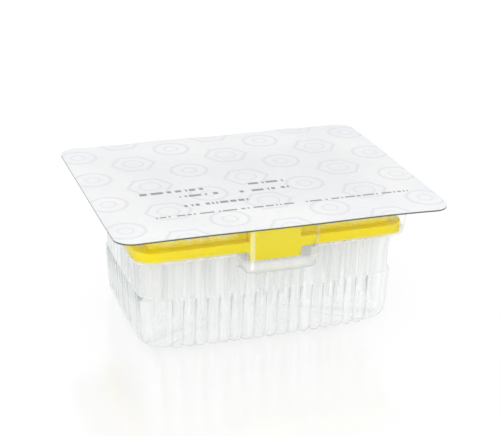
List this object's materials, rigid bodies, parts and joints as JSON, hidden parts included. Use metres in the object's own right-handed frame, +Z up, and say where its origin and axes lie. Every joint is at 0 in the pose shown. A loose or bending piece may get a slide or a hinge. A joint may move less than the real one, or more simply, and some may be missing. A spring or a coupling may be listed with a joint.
{
  "type": "pipette tip refill pack",
  "caption": "Sealed refill pack of filter pipette tips: a clear fluted tray with a finger pocket, a coloured plate holding the tips in rows, and a heat-sealed peel-off lidding sheet.",
  "frame": {"origin": "centre of the tray's footprint, on the surface it stands on", "axes": "+X along the tray's length, +Z up from the floor to the lidding sheet; the tray's finger pocket faces -Y"},
  "size_m": [0.1454, 0.1176, 0.0619],
  "materials": {
    "tray_plastic": "clear",
    "lidding": "matt, with a pale grey-violet print of hexagons and rings and plain dark bars",
    "plate_plastic": "satin, slightly translucent",
    "tip_plastic": "clear",
    "filter_plastic": "matt, porous"
  },
  "bodies": {
    "root": {"tray": "tray_plastic", "lidding_sheet": "lidding", "tip_plate": "plate_plastic", "tips_column_1": "tip_plastic", "tips_column_2": "tip_plastic", "tips_column_3": "tip_plastic", "tips_column_4": "tip_plastic", "tips_column_5": "tip_plastic", "tips_column_6": "tip_plastic", "tips_column_7": "tip_plastic", "tips_column_8": "tip_plastic", "tips_column_9": "tip_plastic", "tips_column_10": "tip_plastic", "tips_column_11": "tip_plastic", "tips_column_12": "tip_plastic", "filters_column_1": "filter_plastic", "filters_column_2": "filter_plastic", "filters_column_3": "filter_plastic", "filters_column_4": "filter_plastic", "filters_column_5": "filter_plastic", "filters_column_6": "filter_plastic", "filters_column_7": "filter_plastic", "filters_column_8": "filter_plastic", "filters_column_9": "filter_plastic", "filters_column_10": "filter_plastic", "filters_column_11": "filter_plastic", "filters_column_12": "filter_plastic"}
  },
  "joints": []
}
